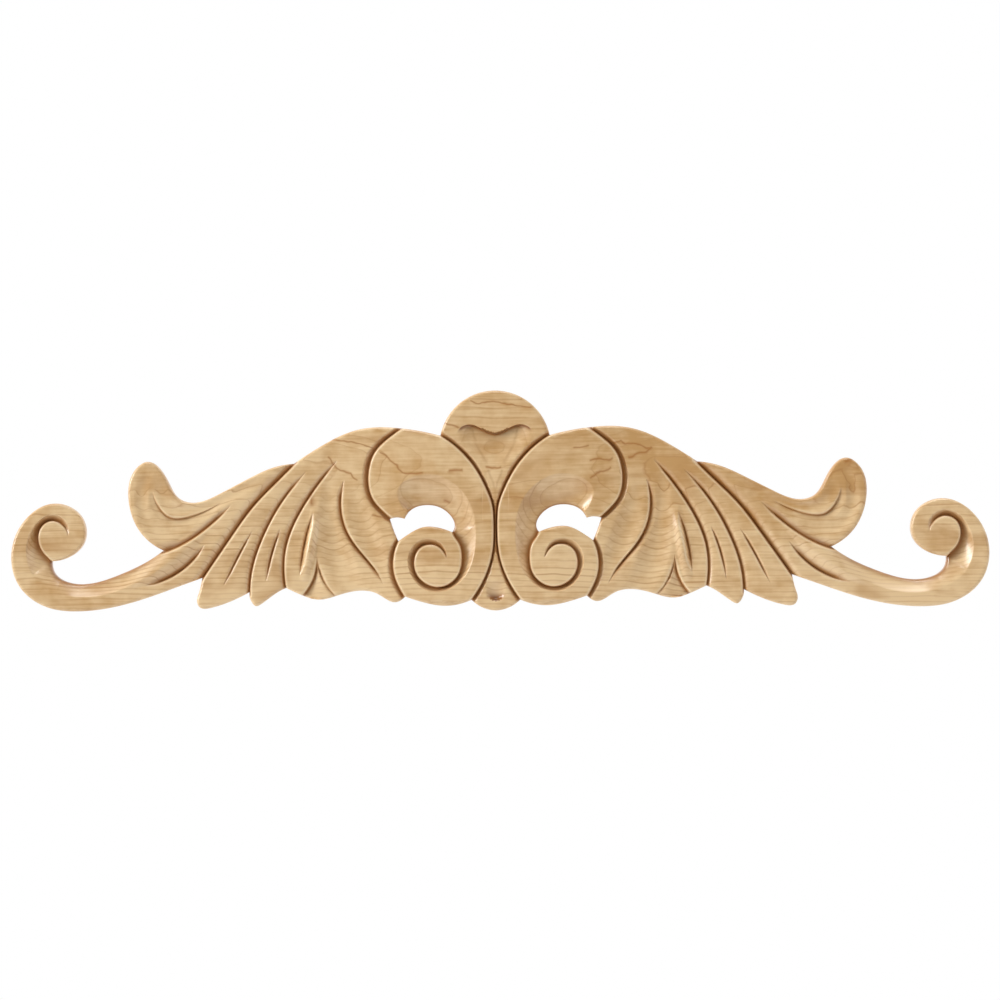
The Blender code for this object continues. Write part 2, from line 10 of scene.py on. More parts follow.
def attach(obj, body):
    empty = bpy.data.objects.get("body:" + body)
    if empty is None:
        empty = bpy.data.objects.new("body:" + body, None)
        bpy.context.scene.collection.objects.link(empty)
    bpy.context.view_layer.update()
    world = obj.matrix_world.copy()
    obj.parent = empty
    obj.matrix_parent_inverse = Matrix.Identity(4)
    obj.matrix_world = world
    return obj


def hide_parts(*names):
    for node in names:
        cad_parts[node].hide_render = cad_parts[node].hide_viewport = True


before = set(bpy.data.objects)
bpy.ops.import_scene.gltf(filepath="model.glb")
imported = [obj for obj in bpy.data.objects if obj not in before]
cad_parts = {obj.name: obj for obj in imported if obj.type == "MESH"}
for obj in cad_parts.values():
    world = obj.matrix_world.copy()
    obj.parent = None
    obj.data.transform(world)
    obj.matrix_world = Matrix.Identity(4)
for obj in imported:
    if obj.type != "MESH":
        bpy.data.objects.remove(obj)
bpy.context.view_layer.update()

print("frame loaded:", sorted(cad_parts))

mm = 0.001

# the board: a domed crest, two C-scrolls and the leaves.
# places are in mm, as (out from the middle, up from mid height)
board = {
    "highOut": [0.0, 28.0, 45.0, 60.0, 75.0, 229.0],
    "high": [17.0, 17.0, 16.0, 14.5, 13.5, 13.0],       # wood above the flat back
    "scrollRaised": 0.9,          # the C-scrolls stand proud of the leaves beside them
    "rim": 1.3,                   # sanded round of the front edge
    "windowRim": 0.7,
    "driftOut": [0.0, 100.0, 140.0, 170.0, 200.0, 229.0],
    "drift": [-2.2, -2.0, -1.5, -1.2, -0.7, 0.0],       # the middle lies to one side
    "crestCentre": (0.0, 25.2),
    "crestRadius": 26.0,
    "crestEnd": (25.5, 30.3),
}

# how fine the surface is, in mm
fineness = {
    "edgeStep": 0.7,
    "cutStep": 0.65,
    "nearStep": 0.62,             # open wood beside a cut
    "farStep": 1.05,              # open wood away from the cuts
    "nearReach": 3.2,
    "gridOut": 229.0,             # the grid of points in the open wood covers the whole half
    "gridUp": 52.0,
    "rimRows": [0.28, 0.65, 1.15],
    "wallRows": [(0.5, 0.0), (1.0, 0.0), (1.0, 0.4)],   # shares of a steep wall, and mm past it
    "runRows": [0.3, 0.75, 1.25, 1.9],                  # mm from a cut's foot, up its run-out
    "runClear": 0.15,             # such a row ends this far before the run-out does
    "ridgeRows": [-0.35, 0.35],   # mm to each side of a hollow's ridge
    "browRows": [0.0, 0.35, 0.65, 1.0],                 # shares of the brow's steep wall
    "rimClear": 0.25,             # mm that the rim rows keep from other points
    "nearClear": 0.6,             # shares of its own step that the open wood keeps from them
    "farClear": 0.75,
    "fewer": 3,                   # one of so many corners is asked how near the open wood is
    "joinWithin": 0.02,
    "mergeWithin": 0.01,
    "sharpAngle": 60.0,           # degrees
    "sample": 0.2,
    "curveParts": 40,             # straight parts between two drawn points
    "batch": 1500,                # points measured in one go, to spare memory
    "tiny": 1e-6,                 # keeps a division away from nought
}

# outline of one half after the crest's arc, each run going on from the one before
outlineRuns = {
    "crown": [(35.0, 32.5), (46.7, 34.1), (56.0, 34.4), (66.7, 32.6), (82.2, 25.3), (94.3, 17.6)],
    "tailLeaf": [
        (104.5, 15.7), (115.8, 10.7), (129.3, 3.8), (142.6, -0.3), (148.2, 1.3), (154.5, 10.8),
        (163.8, 18.9), (169.0, 15.5), (172.5, 1.5), (167.8, -12.8), (156.1, -22.6),
    ],
    "stemTop": [
        (164.3, -28.0), (176.5, -33.6), (189.9, -37.7), (199.8, -37.7), (207.7, -33.4),
        (209.2, -27.3),
    ],
    "endScroll": [
        (201.9, -25.8), (193.8, -18.6), (194.4, -7.7), (207.4, -0.3), (220.6, -6.5),
        (228.45, -22.5), (225.1, -38.5), (211.3, -48.9), (197.8, -50.8), (171.9, -47.1),
        (151.0, -40.2), (137.9, -35.5),
    ],
    "fingerOne": [
        (139.6, -42.9), (140.4, -46.6), (139.2, -49.2), (133.5, -49.5), (124.2, -46.5),
        (115.6, -42.3),
    ],
    "fingerTwo": [(114.4, -47.1), (112.5, -48.9), (110.2, -48.0), (101.3, -41.9), (98.2, -40.5)],
    "leafFoot": [
        (92.4, -43.2), (83.3, -46.0), (72.8, -43.7), (63.3, -41.9), (55.5, -43.4), (47.6, -47.4),
        (42.4, -44.8),
    ],
    "scrollFoot": [(35.0, -47.2), (25.6, -49.1), (11.4, -46.5)],
    "drop": [(4.9, -50.6), (0.0, -51.5)],
}

# the pierced window above each inner volute
windowStart = (49.5, -8.5)
windowRuns = {
    "lip": [(46.4, -7.8), (42.6, -8.4)],
    "arch": [(38.7, -3.8), (31.4, -2.1), (23.9, -4.4), (19.1, -12.5), (20.3, -14.9)],
    "floor": [(26.4, -12.8), (33.8, -12.4), (40.8, -15.7), (45.6, -19.0)],
    "side": [(46.9, -16.0), (49.5, -8.5)],
}

# gouge cuts: a steep wall on one side (1 left of the path, -1 right), and on the other a run-out
# in mm or a hollow that goes up to a ridge. run-outs, depths and bows are spaced evenly along the
# path. bow 1 is hollow with a crisp ridge, bow 0 rolls over softly. spread is the share of the
# depth in a wide easy slope. the last number of each cut is the width in mm of its dark foot, a
# brown stain with painted shade over it
cuts = {
    "scrollLeaf": {
        "path": [
            (41.6, 35.1), (50.4, 29.1), (56.8, 22.3), (59.3, 15.0), (59.7, 8.9), (57.7, 0.9),
            (53.8, -4.1), (49.0, -8.5),
        ],
        "wallSide": -1, "wall": 0.6, "runOut": [1.4, 2.0, 2.2, 2.2, 2.0, 1.6],
        "depth": [1.9, 2.3, 2.3, 1.9], "bow": [0.9], "spread": 0.1, "stainAndShade": 1.9,
    },
    "voluteLeaf": {
        "path": [(45.6, -18.5), (48.0, -25.5), (47.7, -35.0), (45.6, -40.4), (41.6, -47.0)],
        "wallSide": -1, "wall": 0.6, "runOut": [1.4, 1.9, 2.1, 1.9, 1.6],
        "depth": [1.9, 2.3, 2.2, 1.9], "bow": [0.9], "spread": 0.1, "stainAndShade": 1.8,
    },
    "scrollCrest": {
        "path": [
            (27.2, 31.6), (15.5, 22.9), (8.9, 14.8), (3.5, 4.5), (1.2, -2.0), (0.55, -8.0),
            (0.5, -15.5), (1.1, -24.0), (4.0, -34.1), (11.8, -47.3),
        ],
        "wallSide": 1, "wall": 0.6, "runOut": [1.6, 1.6, 1.6, 1.2, 0.55, 0.5, 0.6, 1.3, 1.6],
        "depth": [2.0, 2.1, 2.0], "bow": [0.9], "stainAndShade": 1.5,
    },
    "volute": {
        "path": [
            (39.5, -5.8), (31.4, -3.0), (24.2, -5.2), (20.2, -10.5), (19.6, -15.5), (17.0, -19.7),
            (15.5, -26.5), (17.5, -35.2), (26.0, -40.7), (36.3, -36.0), (38.5, -28.5),
            (35.0, -21.5), (28.5, -20.5), (23.0, -26.3),
        ],
        "ridge": [
            (41.0, -6.0), (44.8, -0.8), (46.0, 4.2), (43.2, 8.6), (35.0, 12.0), (27.0, 11.8),
            (20.1, 8.5), (14.0, 2.4), (10.3, -5.8), (9.1, -15.8), (10.5, -27.0), (15.4, -36.8),
            (24.5, -42.4), (33.1, -41.7), (39.9, -34.2), (41.2, -27.0), (37.5, -20.0),
            (31.5, -17.7), (26.1, -19.5), (22.7, -25.8),
        ],
        "wallSide": 1, "wall": 0.5,
        "depth": [4.2, 4.6, 4.6, 4.4, 4.0, 3.6, 3.4, 3.2, 3.1, 3.0, 3.0, 3.0, 2.9, 2.7, 2.2, 0.6],
        "bow": [0.75, 0.75, 0.95, 0.95, 0.9, 0.85, 0.8], "stainAndShade": 1.6,
    },
    "endEye": {
        "path": [
            (155.4, -21.6), (164.3, -27.2), (176.5, -32.8), (189.9, -36.9), (199.8, -37.0),
            (206.9, -33.0), (209.2, -28.2), (213.3, -23.6), (215.9, -16.5), (213.5, -10.2),
            (208.8, -8.2), (203.5, -10.5), (201.4, -15.7),
        ],
        "ridge": [
            (151.5, -26.6), (159.2, -32.2), (167.6, -36.8), (178.1, -41.5), (189.1, -44.1),
            (198.4, -44.2), (209.1, -41.2), (218.0, -34.2), (221.4, -22.5), (218.5, -12.3),
            (213.1, -6.7), (205.9, -5.9), (201.2, -10.2), (201.0, -15.5),
        ],
        "wallSide": 1, "wall": 0.5,
        "depth": [0.2, 0.9, 1.8, 2.5, 2.9, 3.1, 3.4, 3.6, 3.8, 3.8, 3.7, 3.4, 2.9, 1.9, 0.0],
        "bow": [0.1, 0.4, 0.9, 1.0, 1.0, 0.9, 0.8, 0.7, 0.6], "stainAndShade": 2.2,
    },
    "stemCut": {
        "path": [(165.0, -39.1), (156.1, -36.5), (147.0, -31.4), (140.3, -25.0), (136.5, -19.8)],
        "wallSide": 1, "wall": 0.7, "runOut": [0.5, 3.8, 4.8, 3.8, 0.5],
        "depth": [0.0, 1.9, 2.5, 1.9, 0.0], "stainAndShade": 1.8,
    },
    "tailRoot": {
        "path": [(156.9, -23.6), (148.4, -20.3), (139.6, -15.1), (131.2, -8.4), (123.6, -1.2)],
        "wallSide": 1, "wall": 0.7, "runOut": [4.8, 5.2, 4.8, 3.3, 0.5],
        "depth": [2.0, 2.4, 2.4, 1.7, 0.0], "stainAndShade": 1.7,
    },
    "tailVein": {
        "path": [
            (160.8, 5.0), (158.5, -2.0), (152.9, -7.4), (146.0, -7.6), (137.3, -4.9), (129.0, -0.6),
        ],
        "wallSide": -1, "wall": 0.5, "runOut": [1.0, 5.1, 7.0, 7.0, 5.1, 3.7, 0.9],
        "depth": [0.0, 1.2, 1.5, 1.4, 1.2, 0.8, 0.0], "bow": [0.75], "stainAndShade": 0.6,
    },
    "foldOne": {
        "path": [
            (93.3, 18.2), (102.8, 8.9), (114.1, -2.7), (124.0, -16.0), (132.7, -28.4),
            (138.8, -37.3),
        ],
        "wallSide": -1, "wall": 0.7, "runOut": [5.1, 5.1, 4.7, 4.7, 4.7, 4.2], "depth": [2.6, 2.8],
        "stainAndShade": 1.7,
    },
    "foldTwo": {
        "path": [
            (88.0, 14.0), (95.6, 5.7), (102.9, -4.6), (108.4, -14.9), (112.4, -24.7),
            (114.8, -34.0), (115.5, -43.6),
        ],
        "wallSide": -1, "wall": 0.6, "runOut": [0.5, 2.6, 3.2, 3.2, 2.8, 2.3],
        "depth": [0.0, 1.8, 2.3, 2.3, 2.2, 2.0], "spread": 0.25, "stainAndShade": 1.1,
    },
    "foldThree": {
        "path": [
            (73.8, 19.0), (83.6, 7.1), (92.6, -6.9), (98.2, -20.9), (99.3, -30.3), (98.3, -41.6),
        ],
        "wallSide": -1, "wall": 0.6, "runOut": [0.5, 2.6, 3.2, 3.2, 2.8, 2.3, 2.0],
        "depth": [0.0, 1.9, 2.4, 2.4, 2.2, 2.0, 1.9], "spread": 0.25, "stainAndShade": 1.1,
    },
    "foldFour": {
        "path": [
            (70.6, 9.6), (72.5, 0.5), (72.1, -6.5), (69.9, -13.9), (64.7, -22.3), (57.4, -31.2),
            (52.5, -39.1),
        ],
        "wallSide": -1, "wall": 0.6, "runOut": [0.5, 2.4, 3.2, 3.2, 2.8, 2.2, 0.5],
        "depth": [0.0, 1.9, 2.4, 2.4, 2.2, 1.7, 0.0], "spread": 0.15, "stainAndShade": 1.2,
    },
    "veinOne": {
        "path": [(113.6, -13.3), (119.2, -22.8), (123.8, -31.6), (127.8, -39.6)],
        "wallSide": -1, "wall": 0.6, "runOut": [0.4, 1.5, 1.7, 1.3, 0.4],
        "depth": [0.0, 1.3, 1.6, 1.2, 0.0], "stainAndShade": 0.6,
    },
    "veinTwo": {
        "path": [(100.3, -12.3), (104.2, -22.5), (106.4, -31.0), (107.5, -37.6)],
        "wallSide": -1, "wall": 0.6, "runOut": [0.4, 1.5, 1.7, 1.3, 0.4],
        "depth": [0.0, 1.4, 1.7, 1.2, 0.0], "stainAndShade": 0.7,
    },
    "veinThree": {
        "path": [(85.2, -5.3), (88.4, -15.5), (90.4, -25.0), (91.8, -34.5)],
        "wallSide": -1, "wall": 1.6, "runOut": [0.4, 1.3, 1.5, 1.2, 0.4],
        "depth": [0.0, 1.8, 2.1, 1.6, 0.0], "stainAndShade": 0.7,
    },
    "pocketOut": {
        "path": [(83.6, -25.6), (84.1, -32.5), (86.3, -38.6), (91.4, -45.2)],
        "ridge": [(83.6, -25.6), (82.6, -32.4), (79.5, -39.3), (73.2, -46.0)],
        "wallSide": 1, "wall": 0.7, "depth": [0.0, 1.9, 2.4, 2.5], "bow": [0.5], "stainAndShade": 1.0,
    },
    "pocketIn": {
        "path": [(83.6, -25.6), (82.6, -32.4), (79.5, -39.3), (73.2, -46.0)],
        "wallSide": -1, "wall": 0.9, "runOut": [0.4, 1.2, 2.2, 2.8], "depth": [0.0, 1.4, 0.9, 0.7],
        "stainAndShade": 0.7,
    },
}
scrollBounds = ("scrollLeaf", "voluteLeaf", "scrollCrest")

# what all cuts share, in mm
cutEdge = {
    "fullDepth": 1.6,             # a cut this deep has its stain with painted shade, its lip, and its worn edge with painted highlight in full
    "lip": 0.8,                   # slight fall above the steep wall
    "lipDrop": 0.22,
    "reach": 1.6,                 # farthest mark of a cut above its wall
    "wallDepth": 1.2,             # a cut less deep than this has a narrower wall,
    "wallLeast": 0.3,             # down to this share of its width
    "wide": 2.4,                  # run-outs that the easy slope of a spread takes up
    "widePower": 1.5,
    "ridgeSoft": 0.003,           # rounds the top of a hollow over
    "ridgeDrop": 0.0274,
    "ridgeEnd": 1.1,              # share of the way across where nothing of a cut is left
    "beyond": 1.2,
    # the dark foot of a cut, brown stain with painted shade over it, on its wall and on its run-out
    "wallStainAndShade": 0.5,
    "wallStainAndShadePower": 4,
    "slopeStainAndShade": 0.75,           # most of the run-out that the stain with painted shade may cover
    "slopeStainAndShadeLeast": 0.1,
    "slopeStainAndShadePower": 3,
    "wornAndHighlightOff": 0.25,              # the worn edge with its painted highlight lies so far above the wall
    "wornAndHighlightWidth": 0.45,
}

# shallow dishes scooped along the leaves, and rolls left standing between them: half widths and
# depths in mm. bowlPower is how softly a dish meets the wood round it
bowlPower = 1.4
dishes = {
    "innerLobe": {
        "path": [(66.0, 4.0), (63.4, -7.0), (58.4, -20.0), (50.8, -36.5)],
        "half": [3.8, 6.6, 6.3, 3.2], "depth": [0.3, 1.3, 1.3, 0.3],
    },
    "outerLobe": {
        "path": [(78.4, 9.4), (78.0, -3.3), (75.8, -18.6), (71.5, -32.0), (66.0, -41.0)],
        "half": [3.0, 4.8, 6.8, 7.8, 6.0], "depth": [0.2, 1.2, 1.7, 1.5, 0.6],
    },
    "leafRidge": {
        "path": [(84.4, -2.0), (85.6, -12.0), (87.5, -24.0), (89.5, -35.0)],
        "half": [2.0, 3.0, 3.2, 2.6], "depth": [0.0, -1.7, -2.1, -0.5],
    },
    "tail": {
        "path": [(110.2, 10.4), (127.5, 1.5), (141.5, -3.7), (151.2, -3.0), (157.0, 6.0)],
        "half": [2.6, 3.4, 3.2, 3.4, 3.0], "depth": [0.3, 0.7, 0.8, 0.7, 0.3],
    },
    "tailMargin": {
        "path": [(163.6, 12.0), (166.2, 1.0), (160.5, -11.5), (149.0, -14.6), (136.0, -9.0)],
        "half": [2.6, 3.6, 4.2, 3.8, 2.4], "depth": [0.3, 0.9, 1.0, 0.7, 0.2],
    },
    "stemRoll": {
        "path": [(175.0, -39.0), (163.0, -33.4), (152.0, -26.0), (142.0, -17.5), (134.0, -10.0)],
        "half": [2.6, 4.4, 4.8, 4.2, 2.4], "depth": [0.0, -1.3, -1.7, -1.2, 0.0],
    },
}

# the heart-shaped hollow under the crest's brow: half widths of its top and floor by the height
heart = {
    "brow": [(0.0, 31.3), (4.4, 32.6), (8.4, 34.7), (12.1, 35.5), (15.4, 34.5), (18.0, 31.4)],
    "up": [4.0, 8.5, 11.4, 14.7, 17.8, 20.8, 23.7, 27.1, 31.4, 36.0],
    "top": [0.6, 2.8, 4.3, 6.2, 8.6, 11.3, 14.2, 16.8, 18.3, 18.3],
    "floor": [0.0, 1.0, 2.4, 3.4, 4.4, 5.8, 7.4, 9.0, 10.2, 10.6],
    "depth": 2.2,
    "browWidth": 0.8,
    "full": 2.0,                  # mm below the brow where the hollow begins to fade
    "height": 17.0,
    "leastWall": 0.1,
    # a painted shadow under the brow, and a darker line along the foot of the side walls
    "browShadow": 1.7,
    "browShadowGain": 4.0,
    "browShadowReach": 1.3,
    "footDark": 0.35,
    "footDarkHalf": 0.5,
    "footDarkEnd": 36.0,         # mm below the brow
    "footDarkFade": 12.0,
}

# the thumbnail cut in the drop at the foot
thumbnail = {
    "bottom": -47.1,
    "half": 4.5,
    "sweep": 3.8,                 # how far its lower edge rises to the sides
    "lip": 1.6,
    "height": 9.5,
    "depth": 2.6,
    # brown stain with painted shade at the bottom of the cut, and how far up it reaches
    "stainAndShade": 1.7,
    "stainAndShadeReach": 3.0,
}


def smoothPath(points, step):
    # a cubic curve through the points, by the distance along them
    p = np.array(points, float)
    count = len(p)
    gap = np.linalg.norm(np.diff(p, axis=0), axis=1)
    bend = np.zeros((count, 2))
    if count > 2:
        matrix = np.zeros((count, count))
        right = np.zeros((count, 2))
        matrix[0, 0] = matrix[-1, -1] = 1.0
        matrix[0, 1] = matrix[-1, -2] = -1.0
        for i in range(1, count - 1):
            matrix[i, i - 1:i + 2] = gap[i - 1], 2.0 * (gap[i - 1] + gap[i]), gap[i]
            right[i] = 6.0 * ((p[i + 1] - p[i]) / gap[i] - (p[i] - p[i - 1]) / gap[i - 1])
        bend = np.linalg.solve(matrix, right)
    fine = []
    for i in range(count - 1):
        t = np.linspace(0.0, gap[i], fineness["curveParts"], endpoint=False)[:, None]
        s = gap[i] - t
        curved = (bend[i] * s ** 3 + bend[i + 1] * t ** 3) / (6.0 * gap[i])
        first = p[i] / gap[i] - bend[i] * gap[i] / 6.0
        last = p[i + 1] / gap[i] - bend[i + 1] * gap[i] / 6.0
        straight = first * s + last * t
        fine.append(curved + straight)
    return evenSteps(np.concatenate(fine + [p[-1:]]), step)


def evenSteps(line, step):
    travelled = np.concatenate([[0.0], np.cumsum(np.linalg.norm(np.diff(line, axis=0), axis=1))])
    stops = np.linspace(0.0, travelled[-1], max(2, round(travelled[-1] / step)) + 1)
    return np.stack([np.interp(stops, travelled, line[:, axis]) for axis in (0, 1)], axis=1)


def runsLine(start, runs, step):
    line = [np.array([start])]
    for points in runs.values():
        line.append(smoothPath([tuple(line[-1][-1])] + points, step)[1:])
    return np.concatenate(line)


def outlineLine(step):
    radius = board["crestRadius"]
    endTurn = math.acos((board["crestEnd"][1] - board["crestCentre"][1]) / radius)
    turns = np.linspace(0.0, endTurn, round(radius * endTurn / step) + 1)[:-1]
    crest = np.stack([np.sin(turns), np.cos(turns)], axis=1) * radius + board["crestCentre"]
    return np.concatenate([crest, runsLine(board["crestEnd"], outlineRuns, step)])


def windowLine(step):
    return runsLine(windowStart, windowRuns, step)[:-1]


def measure(points, line):
    # distance to a line, its side (1 left, -1 right) and the share of the way along it
    ahead = np.diff(line, axis=0)
    squaredLength = np.maximum((ahead ** 2).sum(axis=1), fineness["tiny"] ** 2)
    distance = np.empty(len(points))
    side = np.empty(len(points))
    share = np.empty(len(points))
    batch = fineness["batch"]
    for start in range(0, len(points), batch):
        part = points[start:start + batch]
        near = ((part[:, None, :] - line[None, :, :]) ** 2).sum(axis=2).argmin(axis=1)
        best = np.full(len(part), np.inf)
        for stretch in (np.maximum(near - 1, 0), np.minimum(near, len(line) - 2)):
            offset = part - line[stretch]
            t = np.clip((offset * ahead[stretch]).sum(axis=1) / squaredLength[stretch], 0.0, 1.0)
            gap = np.linalg.norm(offset - t[:, None] * ahead[stretch], axis=1)
            turn = ahead[stretch, 0] * offset[:, 1] - ahead[stretch, 1] * offset[:, 0]
            closer = gap < best
            best = np.where(closer, gap, best)
            rows = np.where(closer)[0] + start
            side[rows] = np.sign(turn[closer])
            share[rows] = (stretch + t)[closer] / (len(line) - 1)
        distance[start:start + batch] = best
    return distance, side, share


def along(share, values):
    return np.interp(share, np.linspace(0.0, 1.0, len(values)), values)


def ease(value):
    t = np.clip(value, 0.0, 1.0)
    return t * t * (3.0 - 2.0 * t)


def nearLine(points, line, reach):
    low = line.min(axis=0) - reach
    high = line.max(axis=0) + reach
    return np.where(((points >= low) & (points <= high)).all(axis=1))[0]


def inside(points, loop):
    result = np.zeros(len(points), bool)
    for (x0, y0), (x1, y1) in zip(loop, np.roll(loop, -1, axis=0)):
        if y0 != y1:
            spans = (y0 > points[:, 1]) != (y1 > points[:, 1])
            result ^= spans & (points[:, 0] < (x1 - x0) * (points[:, 1] - y0) / (y1 - y0) + x0)
    return result


def wallWidth(cut, full):
    return cut["wall"] * np.clip(full / cutEdge["wallDepth"], cutEdge["wallLeast"], 1.0)


def slopeShare(across, bow):
    # how much of the depth is left on the way from the foot (0) to the end of the run-out (1)
    hollow = 1.0 - across ** 2
    hollow = 0.5 * (hollow + np.sqrt(hollow ** 2 + cutEdge["ridgeSoft"])) - cutEdge["ridgeDrop"]
    rolling = np.clip(1.0 - across, 0.0, 1.0) ** 2
    left = np.clip(bow * hollow + (1.0 - bow) * rolling, 0.0, 1.0)
    return np.where(across < cutEdge["ridgeEnd"], left, 0.0)


def carveCut(points, cut):
    # depth of a cut at each point, the stain with painted shade left in it, and the worn edge with
    # a painted highlight along its wall
    line = smoothPath(cut["path"], fineness["sample"])
    depth, stainAndShade, wornAndHighlight = np.zeros((3, len(points)))
    ridge = smoothPath(cut["ridge"], fineness["sample"]) if "ridge" in cut else None
    reach = cut["wall"] + cutEdge["reach"]
    if ridge is None:
        close = nearLine(points, line, max(reach, cutEdge["wide"] * max(cut["runOut"])))
    else:
        close = nearLine(points, np.concatenate([line, ridge]), reach)
    distance, side, share = measure(points[close], line)
    full = along(share, cut["depth"])
    onWall = side * cut["wallSide"] > 0
    if ridge is None:
        runOut = along(share, cut["runOut"])
        across = distance / runOut
        hollow = ~onWall
    else:
        toRidge, _, _ = measure(points[close], ridge)
        hollow = inside(points[close], np.concatenate([line, ridge[::-1]]))
        runOut = distance + toRidge
        onHollow = distance / np.maximum(runOut, fineness["tiny"])
        across = np.where(hollow, onHollow, cutEdge["beyond"])
    bow = along(share, cut.get("bow", [0.0]) * 2)
    spread = cut.get("spread", 0.0)
    slope = (1.0 - spread) * slopeShare(across, bow)
    if spread:
        easy = np.clip(1.0 - across / cutEdge["wide"], 0.0, 1.0)
        slope += spread * easy ** cutEdge["widePower"]
    wall = wallWidth(cut, full)
    strength = np.clip(full / cutEdge["fullDepth"], 0.0, 1.0)
    onLip = np.clip(1.0 - (distance - wall) / cutEdge["lip"], 0.0, 1.0)
    lip = cutEdge["lipDrop"] * strength * onLip ** 2
    fromWall = (full - lip) * (1.0 - ease(distance / wall)) + lip
    depth[close] = np.where(hollow, full * slope, np.where(onWall, fromWall, 0.0))
    # the dark foot: brown stain with painted shade over it, on the wall and up the run-out
    onWallFoot = distance / np.minimum(cutEdge["wallStainAndShade"], wall)
    wallStainAndShade = np.exp(-onWallFoot ** cutEdge["wallStainAndShadePower"])
    stainAndShadeWidth = np.minimum(cut["stainAndShade"], cutEdge["slopeStainAndShade"] * runOut)
    onSlopeFoot = distance / np.maximum(stainAndShadeWidth, cutEdge["slopeStainAndShadeLeast"])
    slopeStainAndShade = np.exp(-onSlopeFoot ** cutEdge["slopeStainAndShadePower"])
    stainAndShade[close] = strength * np.where(hollow, slopeStainAndShade, np.where(onWall, wallStainAndShade, 0.0))
    # a pale line just above the wall: wear with a painted highlight
    edge = np.exp(-((distance - wall - cutEdge["wornAndHighlightOff"]) / cutEdge["wornAndHighlightWidth"]) ** 2)
    wornAndHighlight[close] = strength * np.where(onWall, edge, 0.0)
    return depth, stainAndShade, wornAndHighlight


def dishDepth(points, dish):
    line = smoothPath(dish["path"], fineness["sample"])
    close = nearLine(points, line, max(dish["half"]))
    distance, _, share = measure(points[close], line)
    across = np.clip(distance / along(share, dish["half"]), 0.0, 1.0)
    depth = np.zeros(len(points))
    depth[close] = along(share, dish["depth"]) * (1.0 - across ** 2) ** bowlPower
    return depth


def scrollRaise(points):
    # how far the C-scrolls stand proud, between the three cuts that bound them
    bounds = {name: smoothPath(cuts[name]["path"], fineness["sample"]) for name in scrollBounds}
    leafSide, voluteSide, crestSide = bounds.values()
    rise = inside(points, np.concatenate([leafSide, voluteSide, crestSide[::-1]])).astype(float)
    for name, line in bounds.items():
        close = nearLine(points, line, cuts[name]["wall"])
        distance, _, _ = measure(points[close], line)
        rise[close] = np.minimum(rise[close], ease(distance / cuts[name]["wall"]))
    return board["scrollRaised"] * rise


def carveHeart(points):
    brow = smoothPath(heart["brow"], fineness["sample"])
    below = np.interp(points[:, 0], brow[:, 0], brow[:, 1]) - points[:, 1]
    top = np.interp(points[:, 1], heart["up"], heart["top"])
    floor = np.interp(points[:, 1], heart["up"], heart["floor"])
    across = ease((top - points[:, 0]) / np.maximum(top - floor, heart["leastWall"]))
    fade = 1.0 - ease((below - heart["full"]) / heart["height"])
    # painted shadow under the brow, and a darker line along the foot of the side walls
    underBrow = np.exp(-(np.maximum(below, 0.0) / heart["browShadowReach"]) ** 2)
    underBrow = heart["browShadow"] * ease(heart["browShadowGain"] * across) * underBrow
    footLine = np.exp(-((points[:, 0] - floor) / heart["footDarkHalf"]) ** 2)
    footLine *= ease((heart["footDarkEnd"] - below) / heart["footDarkFade"])
    footLine *= heart["footDark"]
    stainAndShade = np.where(below > 0.0, np.maximum(underBrow, footLine), 0.0)
    return heart["depth"] * across * ease(below / heart["browWidth"]) * fade, stainAndShade


def carveThumbnail(points):
    across = np.clip(points[:, 0] / thumbnail["half"], 0.0, 1.0)
    foot = thumbnail["bottom"] + thumbnail["sweep"] * (1.0 - np.sqrt(1.0 - across ** 2))
    above = points[:, 1] - foot
    fade = np.clip(1.0 - above / thumbnail["height"], 0.0, 1.0)
    bowl = fade * (1.0 - across ** 2) ** bowlPower
    # brown stain with painted shade at the bottom of the cut
    dark = np.exp(-(np.maximum(above, 0.0) / thumbnail["stainAndShadeReach"]) ** 2)
    stainAndShade = thumbnail["stainAndShade"] * np.where(above > 0.0, dark, 0.0) * (1.0 - across ** 2)
    return thumbnail["depth"] * ease(above / thumbnail["lip"]) * bowl, stainAndShade


def rounding(points, line, radius):
    distance, _, _ = measure(points, line)
    share = np.clip(1.0 - distance / radius, 0.0, 1.0)
    return radius * (1.0 - np.sqrt(1.0 - share ** 2))


def carve(points):
    # height of the front above the flat back, the stain with painted shade in the cuts, and the
    # worn edges with painted highlights beside them
    depth, stainAndShade, wornAndHighlight = np.zeros((3, len(points)))
    for cut in cuts.values():
        cutHere, stainAndShadeHere, wornAndHighlightHere = carveCut(points, cut)
        depth = np.maximum(depth, cutHere)
        stainAndShade = np.maximum(stainAndShade, stainAndShadeHere)
        wornAndHighlight = np.maximum(wornAndHighlight, wornAndHighlightHere)
    height = np.interp(points[:, 0], board["highOut"], board["high"]) + scrollRaise(points) - depth
    for dish in dishes.values():
        height -= dishDepth(points, dish)
    for carveHollow in (carveHeart, carveThumbnail):
        hollow, stainAndShadeHere = carveHollow(points)
        height -= hollow
        stainAndShade = np.maximum(stainAndShade, stainAndShadeHere)
    height -= rounding(points, outlineLine(fineness["sample"]), board["rim"])
    height -= rounding(points, windowLine(fineness["sample"]), board["windowRim"])
    return height, stainAndShade, wornAndHighlight * (1.0 - stainAndShade)


def beside(line, offset):
    # the line moved to its left by the offset
    ahead = np.gradient(line, axis=0)
    ahead /= np.linalg.norm(ahead, axis=1)[:, None]
    return line + np.stack([-ahead[:, 1], ahead[:, 0]], axis=1) * np.asarray(offset).reshape(-1, 1)


